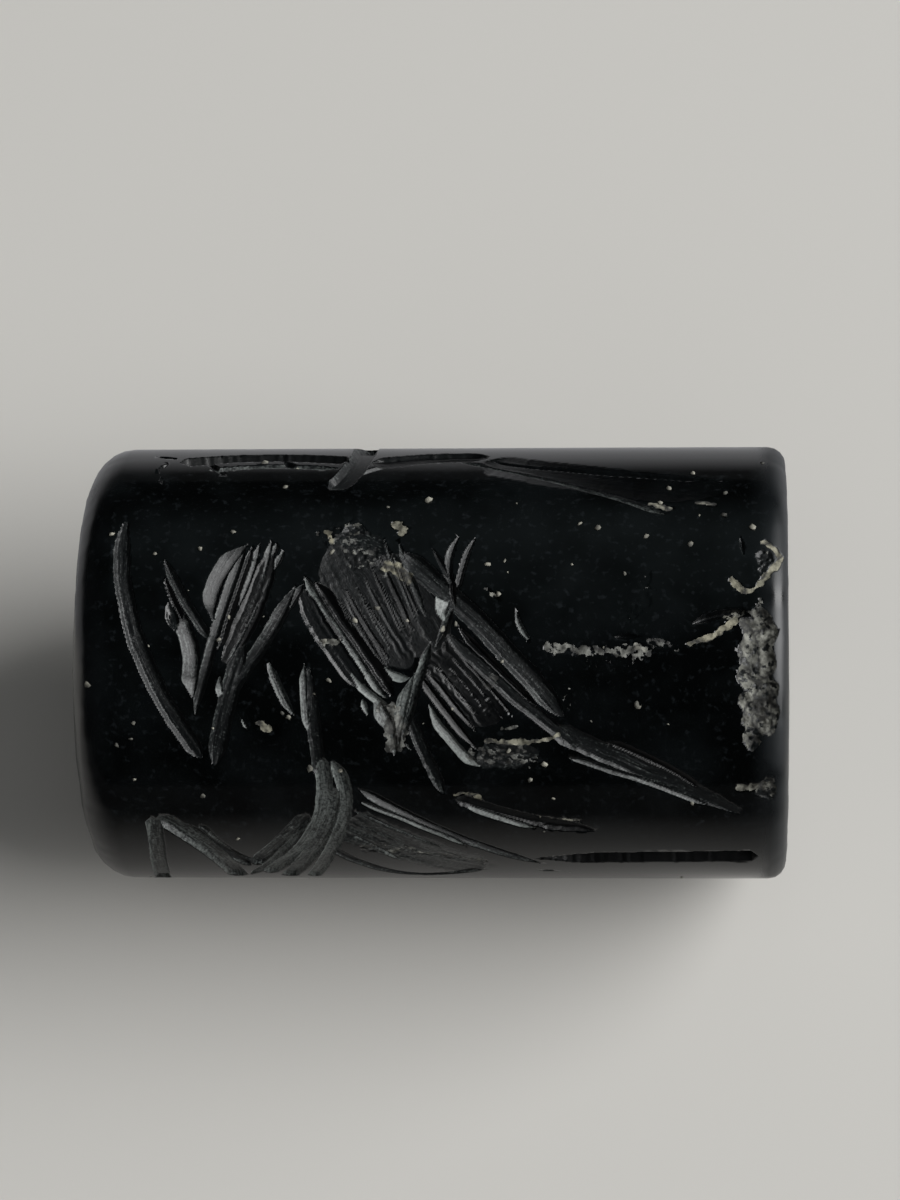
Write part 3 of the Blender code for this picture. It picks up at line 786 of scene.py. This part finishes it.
def seal_surface(cells, angle):
    """The finished surface at these cells along the outline and angles round the stone."""
    x, radius = outline_at(cells)
    ahead, behind = outline_at(cells + OUTLINE_STEP), outline_at(cells - OUTLINE_STEP)
    run_x, run_r = ahead[0] - behind[0], ahead[1] - behind[1]
    run = np.hypot(run_x, run_r)
    back = uneven(cells, x, radius, angle)
    blotches = worn_noise(cells, x, radius, angle, WORN_BLOTCH, 4)
    x = x - run_r / run * back
    radius = radius + run_x / run * back
    on_skin = smooth(cells, SIDE_START - RIM_CELL, SIDE_START + RIM_CELL)
    on_skin = on_skin * (1 - smooth(cells, SIDE_END - RIM_CELL, SIDE_END + RIM_CELL))
    depth, matt, pale, grain = carved(x, angle)
    depth = np.where(on_skin > 0, depth - (RADIUS - radius), UNCUT)
    crust, cream = crusted(x, angle)
    crust = crust * on_skin
    lumps = noise(x / CRUST_LUMP, angle * RADIUS / CRUST_LUMP, LUMP_SEED)
    radius = radius - np.clip(depth, 0.0, None) - on_skin * hollowed(x, angle) - crust * lumps * CRUST_ROUGH
    points = in_space(x, radius, angle)
    points, chipped, chip_crust = break_away(points, angle)
    points[:, 2] = np.maximum(points[:, 2], LOW.z)
    crust = np.where(chipped > 0, np.maximum(crust, chip_crust), crust)
    cream = np.where(chipped > 0, CHIP_CREAM, cream)
    worn = np.where(x > 0, RIGHT_ROUND_WORN, LEFT_ROUND_WORN)
    worn = worn + (FACE_WORN - worn) * beyond_side(cells, 3, 7)
    worn = worn * beyond_side(cells, -1, 2) * (LEAST_BLOTCHED + BLOTCHED_MORE * blotches)
    return Skin(points, depth, matt, pale, grain, chipped, crust, cream, worn)


def surface_normals(cells, angle):
    """Outward normals of the finished surface, from its points a little way off each place."""
    along = NORMAL_REACH / (LENGTH / CELLS_ON_SIDE)
    around = NORMAL_REACH / RADIUS
    ahead = seal_surface(cells + along, angle).points - seal_surface(cells - along, angle).points
    aside = seal_surface(cells, angle + around).points - seal_surface(cells, angle - around).points
    normals = np.cross(ahead, aside)
    return normals / np.linalg.norm(normals, axis=1, keepdims=True)


def corners_and_middles(shape):
    """The flat grid's corners, the corners round each face in one row, and each face's middle."""
    shape.verts.index_update()
    corners = np.array([vert.co[:2] for vert in shape.verts])
    rings = [[vert.index for vert in face.verts] for face in shape.faces]
    counts = np.array([len(ring) for ring in rings])
    starts = np.concatenate(([0], np.cumsum(counts)[:-1]))
    order = np.concatenate(rings)
    middles = np.add.reduceat(corners[order], starts) / counts[:, None]
    return corners, order, starts, counts, middles


def busy_faces(shape, reach):
    """The faces of the flat grid that carving, crust or a chip comes within reach of."""
    corners, order, starts, _, middles = corners_and_middles(shape)
    busy = []
    for places in (corners, middles):
        found = seal_surface(places[:, 0], places[:, 1])
        busy.append((found.cut > -reach) | (found.chipped > -reach) | (found.crust > CRUST_SHOWS))
    return np.logical_or.reduceat(busy[0][order], starts) | busy[1]


def bent_faces(shape, count):
    """The faces of the flat grid whose middle stands furthest off the surface's corners."""
    corners, order, starts, counts, middles = corners_and_middles(shape)
    centre = seal_surface(middles[:, 0], middles[:, 1]).points
    around = seal_surface(corners[:, 0], corners[:, 1]).points
    around = np.add.reduceat(around[order], starts) / counts[:, None]
    error = np.linalg.norm(centre - around, axis=1)
    shown = np.cos(middles[:, 1] - SHOWN_FACE) > SHOWN_ROUND
    across = corners[order, 0]
    width = np.maximum.reduceat(across, starts) - np.minimum.reduceat(across, starts)
    error[~(shown & (width < WIDEST_CELL))] = 0.0
    chosen = np.zeros(len(error), bool)
    chosen[np.argsort(-error)[:count]] = True
    return chosen & (error > 0.0)


def divide(shape, chosen):
    """Divide the chosen faces of the flat grid in four."""
    shape.faces.ensure_lookup_table()
    edges = {edge for i in np.flatnonzero(chosen) for edge in shape.faces[i].edges}
    bmesh.ops.subdivide_edges(shape, edges=list(edges), cuts=1, use_grid_fill=True)


def seal_skin():
    """The whole seal as one closed mesh, finer where it is carved or chipped."""
    shape = bmesh.new()
    bmesh.ops.create_grid(shape, x_segments=CELLS_ALONG, y_segments=CELLS_ROUND, size=0.5)
    bmesh.ops.translate(shape, vec=(0.5, 0.0, 0.0), verts=shape.verts)
    bmesh.ops.scale(shape, vec=(CELLS_ALONG, math.tau, 1.0), verts=shape.verts)
    divide(shape, busy_faces(shape, FINE_REACH))
    divide(shape, busy_faces(shape, 0.0))
    divide(shape, bent_faces(shape, FINEST_FACES))
    mesh = mesh_of(shape, "seal")
    flat = np.zeros(len(mesh.vertices) * 3, np.float32)
    mesh.vertices.foreach_get("co", flat)
    flat = flat.reshape(-1, 3).astype(float)
    skin = seal_surface(flat[:, 0], flat[:, 1])
    mesh.vertices.foreach_set("co", skin.points.astype(np.float32).ravel())
    skin = skin._replace(cut=skin.cut / MM, chipped=skin.chipped / MM)
    for name in Skin._fields[1:]:
        keep_values(mesh, name, getattr(skin, name))
    keep_values(mesh, "facing", surface_normals(flat[:, 0], flat[:, 1]))
    close_seams(mesh)
    return mesh


def keep_values(mesh, name, values):
    """Keep a value or a vector at every vertex."""
    vector = values.ndim == 2
    kept = mesh.attributes.new(name, "FLOAT_VECTOR" if vector else "FLOAT", "POINT")
    kept.data.foreach_set("vector" if vector else "value", values.astype(np.float32).ravel())


def close_seams(mesh):
    """Merge the two seams of the grid, and give the mesh its own smooth normals."""
    shape = bmesh.new()
    shape.from_mesh(mesh)
    bmesh.ops.remove_doubles(shape, verts=shape.verts, dist=SEAM_GAP)
    shape.to_mesh(mesh)
    shape.free()
    facing = np.zeros(len(mesh.vertices) * 3, np.float32)
    mesh.attributes["facing"].data.foreach_get("vector", facing)
    mesh.attributes.remove(mesh.attributes["facing"])
    mesh.shade_smooth()
    mesh.normals_split_custom_set_from_vertices(facing.reshape(-1, 3))


def mesh_of(shape, name):
    """The finished mesh of a bmesh."""
    mesh = bpy.data.meshes.new(name)
    shape.to_mesh(mesh)
    shape.free()
    return mesh


def placed(name, mesh, material):
    """An object of this mesh and material, in the scene at its origin."""
    piece = bpy.data.objects.new(name, mesh)
    bpy.context.scene.collection.objects.link(piece)
    mesh.materials.append(material)
    return piece


def empty_material(name):
    """A material with no nodes yet."""
    material = bpy.data.materials.new(name)
    material.use_nodes = True
    material.node_tree.nodes.clear()
    return material


def finish(tree, surface):
    """Give a material's surface these values and links of its shader."""
    shader = add(tree, "BsdfPrincipled", surface)["BSDF"]
    add(tree, "OutputMaterial", {"Surface": shader})


# The patterns of the stone's looks: grains to a millimetre, and layers of finer ones in them
PATTERNS = {
    "smudge": (0.45, 5),
    "bend": (1.3, 4),
    "blotch": (2.6, 5),
    "dust": (4.2, 3),
    "grit": (5.0, 4),
    "speck": (11.0, 3),
}
CRACKS_PER_MM = 0.7
SCRATCHES_PER_MM = 1.5
SCRATCHES_CLOSER = 14.0
RIM_IN_MM = 0.012
BROKEN_RIM_IN_MM = 0.02
PALE_AND_PAINTED_LIGHT_LIFT = 0.35
CRACK_BEND = 0.0012
STONE_IOR = 1.55
RELIEF = 0.03 * MM
MATT = 0.9


def stone_material():
    """Polished black stone: black and glossy, matt blue-grey where grit has ground it, with crust."""
    material = empty_material("polished_black_stone")
    tree = material.node_tree
    place = add(tree, "TexCoord")["Object"]
    kept = {name: add(tree, "Attribute", attribute_name=name) for name in Skin._fields[1:]}
    share = {name: outputs["Fac"] for name, outputs in kept.items()}
    noises = {}
    for name, (per_mm, detail) in PATTERNS.items():
        noises[name] = add(tree, "TexNoise", {"Vector": place, "Scale": per_mm / MM, "Detail": detail})

    # Where the stone is ground or broken, with crisp rims
    ground = add(tree, "MapRange", {"Value": share["cut"], "From Max": RIM_IN_MM})["Result"]
    ground = add(tree, "Math", {0: ground, 1: share["matt"]}, operation="MULTIPLY")["Value"]
    broken = add(tree, "MapRange", {"Value": share["chipped"], "From Max": BROKEN_RIM_IN_MM})["Result"]
    rough = add(tree, "Math", {0: ground, 1: broken}, operation="MAXIMUM")["Value"]

    # Crust in grains of 0.2 mm, whole or in spots as its cover says, blotched and cracked
    cover = add(tree, "Math", {0: share["crust"], 1: noises["grit"]["Fac"]}, operation="ADD")["Value"]
    crusted = add(tree, "MapRange", {"Value": cover, "From Min": 0.96, "From Max": 1.04})["Result"]
    blotch = {"Value": noises["blotch"]["Fac"], "From Min": 0.38, "From Max": 0.62}
    blotch = add(tree, "MapRange", blotch)["Result"]
    bent = {0: CRACK_BEND, 4: place, 5: noises["bend"]["Color"]}
    bent = add(tree, "Mix", bent, data_type="VECTOR")[1]
    crack = {"Vector": bent, "Scale": CRACKS_PER_MM / MM}
    crack = add(tree, "TexVoronoi", crack, feature="DISTANCE_TO_EDGE")["Distance"]
    crack = add(tree, "MapRange", {"Value": crack, "From Max": 0.09})["Result"]

    # Scratches that the grit leaves along each stroke, 0.05 mm apart
    stretched = {"Vector": kept["grain"]["Vector"], "Scale": (SCRATCHES_CLOSER, 1.0, 1.0)}
    stretched = add(tree, "Mapping", stretched)["Vector"]
    streaks = {"Vector": stretched, "Scale": SCRATCHES_PER_MM, "Detail": 3.0}
    streaks = add(tree, "TexNoise", streaks)["Fac"]
    streaks = add(tree, "Math", {0: streaks, 1: noises["speck"]["Fac"]}, operation="ADD")["Value"]
    streaks = add(tree, "Math", {0: streaks, 1: 0.5}, operation="MULTIPLY")["Value"]
    # The carving's paleness, with its painted shade in deep cuts and its painted highlight on lit banks and
    # facets, lifts the tone of the scratches
    lift_with_painted_light = {0: share["pale"], 1: PALE_AND_PAINTED_LIGHT_LIFT, 2: streaks}
    lift_with_painted_light = add(tree, "Math", lift_with_painted_light, operation="MULTIPLY_ADD")["Value"]
    low = add(tree, "MapRange", {"Value": lift_with_painted_light, "From Min": 0.32, "From Max": 0.66})["Result"]
    high = add(tree, "MapRange", {"Value": lift_with_painted_light, "From Min": 0.56, "From Max": 0.92})["Result"]

    # Dust and smudges on the polish
    dust = {"Value": noises["dust"]["Fac"], "From Min": 0.58, "From Max": 0.76}
    dust = add(tree, "MapRange", dust)["Result"]
    smudge = {"Value": noises["smudge"]["Fac"], "From Min": 0.4, "From Max": 0.7}
    smudge = add(tree, "MapRange", smudge)["Result"]

    # Each tone goes from one to the other as its share says; a name is a tone made before
    # Ground stone runs from near black, a painted shade in deep cuts, to pale grey, in part a painted
    # highlight on lit banks and facets
    layers = [
        ("ground", low, "#040506", "#15191a"),
        ("ground", high, "ground", "#7f8582"),
        ("grey_crust", blotch, "#1e1f1f", "#7d7f7c"),
        ("cream_crust", blotch, "#504e42", "#989480"),
        ("crust", share["cream"], "grey_crust", "cream_crust"),
        ("crust", crack, "#2b2b2a", "crust"),
        ("polish", smudge, "#030404", "#0c0f10"),
        ("polish", dust, "polish", "#181b1d"),
        ("polish", share["worn"], "polish", "#1d2022"),
        ("stone", rough, "polish", "ground"),
        ("stone", crusted, "stone", "crust"),
    ]
    tones = {}
    for name, part, *ends in layers:
        under, over = [linear(tone) if tone.startswith("#") else tones[tone] for tone in ends]
        tones[name] = add(tree, "Mix", {0: part, 6: under, 7: over}, data_type="RGBA")[2]

    # The polish is glossy, less so where smudged or worn, and what is ground or crusted is matt
    gloss = add(tree, "MapRange", {"Value": smudge, "To Min": 0.08, "To Max": 0.17})["Result"]
    for part, roughness in ((share["worn"], 0.42), (rough, 0.45), (crusted, 0.85)):
        gloss = add(tree, "MapRange", {"Value": part, "To Min": gloss, "To Max": roughness})["Result"]
    scratches = add(tree, "Math", {0: streaks, 1: rough}, operation="MULTIPLY")["Value"]
    grains = add(tree, "Math", {0: blotch, 1: crusted}, operation="MULTIPLY")["Value"]
    relief = add(tree, "Math", {0: scratches, 1: grains}, operation="ADD")["Value"]
    bump = add(tree, "Bump", {"Height": relief, "Strength": 0.6, "Distance": RELIEF})["Normal"]
    finish(tree, {"Base Color": tones["stone"], "Roughness": gloss, "Normal": bump, "IOR": STONE_IOR})
    return material


def build_seal():
    """The carved seal, in the place of its solid."""
    seal = placed("carved_seal", seal_skin(), stone_material())
    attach(seal, "root")
    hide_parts("cylinder_seal")


# The crumbs that show best: where each is drawn, and how wide it is in mm
CRUMBS = [
    (-109, -112, 0.26), (-118, -22, 0.26), (-86, -43, 0.26), (-64, -56, 0.24), (-34, -43, 0.2),
    (1, -35, 0.3), (15, -39, 0.2), (61, -1, 0.2), (-12, -163, 0.34), (47, -99, 0.26),
    (64, -102, 0.2), (58, -69, 0.22), (157, -135, 0.26), (139, -139, 0.22), (205, -126, 0.22),
    (249, -118, 0.24), (184, -89, 0.2), (195, -15, 0.34), (196, 42, 0.3), (104, 101, 0.26),
    (-131, 105, 0.3), (-101, 110, 0.2), (-159, 50, 0.22), (-153, 54, 0.22), (99, 155, 0.26),
    (89, 117, 0.22), (-331, -130, 0.24), (-242, -115, 0.22), (-208, -132, 0.2), (-356, 22, 0.24),
    (-213, -47, 0.22), (-223, -24, 0.2), (-177, -201, 0.3), (-156, -177, 0.24), (-144, -198, 0.22),
    (219, -160, 0.22), (228, -176, 0.24), (252, -189, 0.2), (284, -169, 0.24), (283, -147, 0.24),
    (321, -199, 0.2), (-239, 133, 0.22), (-204, 176, 0.2), (311, -135, 0.26), (68, 88, 0.26),
    (-112, 17, 0.24), (-326, 82, 0.18), (-312, 76, 0.18), (-309, 60, 0.18), (250, 140, 0.2),
]

# And fine ones scattered over this much of each side
SCATTERED_A_SIDE = 22
SCATTER_ALONG = 320
SCATTER_DOWN = 170
FINE_CRUMB = (0.06, 0.15)
CRUMB_SEED = 31
CRUMB_RAGGED = 0.14
CRUMB_FLAT = 0.5
EARTH_BLOTCHES_PER_MM = 1.8


def crumb_places(rng):
    """Where each crumb lies on the stone, as points and outward directions, and its width."""
    drawn = [(x, y, width * MM, SHOWN_FACE) for x, y, width in CRUMBS]
    for face in (SHOWN_FACE, UNDER_FACE, BACK_FACE):
        for _ in range(SCATTERED_A_SIDE):
            spot = rng.uniform((-SCATTER_ALONG, -SCATTER_DOWN), (SCATTER_ALONG, SCATTER_DOWN))
            drawn.append((*spot, rng.uniform(*FINE_CRUMB) * MM, face))
    laid = np.array([on_stone((x, y), face) for x, y, width, face in drawn])
    side = (OUTLINE_CELLS >= SIDE_START) & (OUTLINE_CELLS <= SIDE_END)
    cells = np.interp(-laid[:, 0], -OUTLINE[side, 0], OUTLINE_CELLS[side])
    points = seal_surface(cells, laid[:, 1]).points
    outward = in_space(laid[:, 0] * 0, laid[:, 0] * 0 + 1, laid[:, 1]) - (0.0, 0.0, AXIS_HEIGHT)
    return points, outward, [width for x, y, width, face in drawn]


def earth_material():
    """Dry earth and lime from the ground: matt, from grey to cream."""
    material = empty_material("dry_earth")
    tree = material.node_tree
    place = add(tree, "TexCoord")["Object"]
    blotch = {"Vector": place, "Scale": EARTH_BLOTCHES_PER_MM / MM, "Detail": 4.0}
    blotch = add(tree, "TexNoise", blotch)["Fac"]
    blotch = add(tree, "MapRange", {"Value": blotch, "From Min": 0.35, "From Max": 0.65})["Result"]
    tones = {0: blotch, 6: linear("#454541"), 7: linear("#98968a")}
    tone = add(tree, "Mix", tones, data_type="RGBA")[2]
    finish(tree, {"Base Color": tone, "Roughness": MATT})
    return material


def build_crumbs():
    """Crumbs of dry earth that stick to the stone."""
    rng = np.random.default_rng(CRUMB_SEED)
    shape = bmesh.new()
    for point, out, width in zip(*crumb_places(rng)):
        turned = Vector(out).to_track_quat("Z", "Y").to_matrix().to_4x4()
        spun = Matrix.Rotation(rng.uniform(0, math.tau), 4, "Z")
        squeeze = Matrix.Diagonal((1.0, rng.uniform(0.5, 0.9), CRUMB_FLAT, 1.0))
        stand = Matrix.Translation(Vector(point)) @ turned @ spun @ squeeze
        made = bmesh.ops.create_icosphere(shape, subdivisions=1, radius=width / 2, matrix=stand)
        for vert in made["verts"]:
            vert.co += Vector(rng.uniform(-CRUMB_RAGGED, CRUMB_RAGGED, 3)) * width
            vert.co = [min(max(value, low), high) for value, low, high in zip(vert.co, LOW, HIGH)]
    mesh = mesh_of(shape, "crumbs")
    mesh.shade_smooth()
    crumbs = placed("earth_crumbs", mesh, earth_material())
    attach(crumbs, "root")


# The floor lies just under the seal, and a sheet of painted shade on it, which only reflections show,
# stands this far off the middle
FLOOR_GAP = 0.02 * MM
SHADE_SHEET_GAP = 6 * MM
SHADE_SHEET_RISE = 0.1 * MM
SHADE_SHEET_FALL = 1.6


def sheet(name, move, material):
    """A flat square of the stage, two metres wide, moved to its place."""
    shape = bmesh.new()
    bmesh.ops.create_grid(shape, x_segments=1, y_segments=1, size=1.0)
    bmesh.ops.translate(shape, vec=move, verts=shape.verts)
    made = placed(name, mesh_of(shape, name), material)
    return made


def build_floor():
    """The plain pale floor."""
    material = empty_material("pale_floor")
    finish(material.node_tree, {"Base Color": linear("#cfcdc8"), "Roughness": MATT})
    sheet("floor", (0.0, 0.0, LOW.z - FLOOR_GAP), material)


def build_reflected_shade_sheet(name, side, start, end, near_tone, far_shade_tone):
    """A sheet on the floor beside the seal that only gloss sees, a painted reflection of shade that darkens
    from start to end.
    """
    material = empty_material(name)
    tree = material.node_tree
    place = add(tree, "TexCoord")["Object"]
    out = add(tree, "SeparateXYZ", {"Vector": place})["Y"]
    painted_shade_fall = {"Value": out, "From Min": side * end, "From Max": side * start}
    painted_shade_fall = add(tree, "MapRange", painted_shade_fall)["Result"]
    painted_shade_fall = add(tree, "Math", {0: painted_shade_fall, 1: SHADE_SHEET_FALL}, operation="POWER")["Value"]
    tones = {0: painted_shade_fall, 6: linear(far_shade_tone), 7: linear(near_tone)}
    tone = add(tree, "Mix", tones, data_type="RGBA")[2]
    finish(tree, {"Base Color": tone, "Roughness": MATT})
    shade_sheet = sheet(name, (0.0, side * (1.0 + SHADE_SHEET_GAP), LOW.z + SHADE_SHEET_RISE), material)
    shade_sheet.visible_camera = False
    shade_sheet.visible_shadow = False
    shade_sheet.visible_diffuse = False


def area_light(name, toward, distance, width, height, power):
    """A soft rectangular light that faces the seal from this direction."""
    light = bpy.data.lights.new(name, "AREA")
    light.shape = "RECTANGLE"
    light.size = width
    light.size_y = height
    light.energy = power
    lamp = bpy.data.objects.new(name, light)
    lamp.location = Vector(toward).normalized() * distance + Vector((0.0, 0.0, AXIS_HEIGHT))
    lamp.rotation_euler = Vector(toward).to_track_quat("Z", "Y").to_euler()
    bpy.context.scene.collection.objects.link(lamp)
    return lamp


def build_light():
    """Soft light from a wide window to the right, and a weak fill that gloss doesn't see."""
    area_light("window", (0.8, 0.05, 0.6), distance=1.0, width=1.0, height=0.9, power=16.0)
    fill = area_light("fill", (-0.1, -0.5, 0.9), distance=1.2, width=1.8, height=1.4, power=3.0)
    fill.visible_glossy = False
    # Two sheets that only gloss sees lay painted shade into the floor's reflection, darker further from the
    # seal
    build_reflected_shade_sheet("near_reflected_shade", -1, start=5 * MM, end=38 * MM, near_tone="#bab8b4", far_shade_tone="#1c1c1d")
    build_reflected_shade_sheet("far_reflected_shade", 1, start=30 * MM, end=90 * MM, near_tone="#a6a6a8", far_shade_tone="#151517")


def build_world():
    """Dark surroundings with a dim glow above the far side, and a plain pale backdrop."""
    world = bpy.data.worlds.new("studio")
    world.use_nodes = True
    tree = world.node_tree
    tree.nodes.clear()
    direction = add(tree, "TexCoord")["Generated"]
    axes = add(tree, "SeparateXYZ", {"Vector": direction})
    glow = 1.0
    for axis, start, end in (("Z", 0.22, 0.62), ("Y", -0.25, 0.75), ("X", -0.2, -0.05)):
        rise = add(tree, "MapRange", {"Value": axes[axis], "From Min": start, "From Max": end})["Result"]
        glow = add(tree, "Math", {0: glow, 1: rise}, operation="MULTIPLY")["Value"]
    dim = {0: glow, 6: linear("#121314"), 7: linear("#4c5456")}
    dim = add(tree, "Mix", dim, data_type="RGBA")[2]
    shown = {0: add(tree, "LightPath")["Is Camera Ray"], 6: dim, 7: linear("#c4c3bf")}
    shown = add(tree, "Mix", shown, data_type="RGBA")[2]
    background = add(tree, "Background", {"Color": shown})["Background"]
    add(tree, "OutputWorld", {"Surface": background})
    bpy.context.scene.world = world


# The camera, placed from the middle of the seal's axis, and its focal length in pixels of a
# picture of this height
PICTURE_HEIGHT = 1200
SENSOR = 36.0
FOCAL_PIXELS = 4164
CAMERA_ALONG = 9.75 * MM
CAMERA_TILT = math.radians(23)
CAMERA_ROLL = 0.0255
LOOK_AT = Vector((0.283, 2.505, 0.0)) * MM
NEAREST_SEEN = 0.01
FURTHEST_SEEN = 10.0


def build_camera():
    """The camera at the photograph's place, turned a little about its own line of sight."""
    centre = Vector((0.0, 0.0, AXIS_HEIGHT))
    back = VIEW_DISTANCE * math.sin(CAMERA_TILT)
    rise = VIEW_DISTANCE * math.cos(CAMERA_TILT)
    eye = centre + Vector((CAMERA_ALONG, -back, rise))
    ahead = (centre + LOOK_AT - eye).normalized()
    right = ahead.cross(Vector((0.0, 1.0, 0.0))).normalized()
    up = right.cross(ahead)
    rolled_right = right * math.cos(CAMERA_ROLL) + up * math.sin(CAMERA_ROLL)
    rolled_up = up * math.cos(CAMERA_ROLL) - right * math.sin(CAMERA_ROLL)
    turned = Matrix((rolled_right, rolled_up, -ahead)).transposed()
    camera = bpy.data.objects.new("camera", bpy.data.cameras.new("camera"))
    camera.matrix_world = Matrix.Translation(eye) @ turned.to_4x4()
    camera.data.sensor_width = SENSOR
    camera.data.lens = FOCAL_PIXELS / PICTURE_HEIGHT * SENSOR
    camera.data.clip_start = NEAREST_SEEN
    camera.data.clip_end = FURTHEST_SEEN
    bpy.context.scene.collection.objects.link(camera)
    bpy.context.scene.camera = camera


build_camera()
build_seal()
build_crumbs()
build_floor()
build_light()
build_world()
bpy.context.scene.view_settings.view_transform = "Standard"
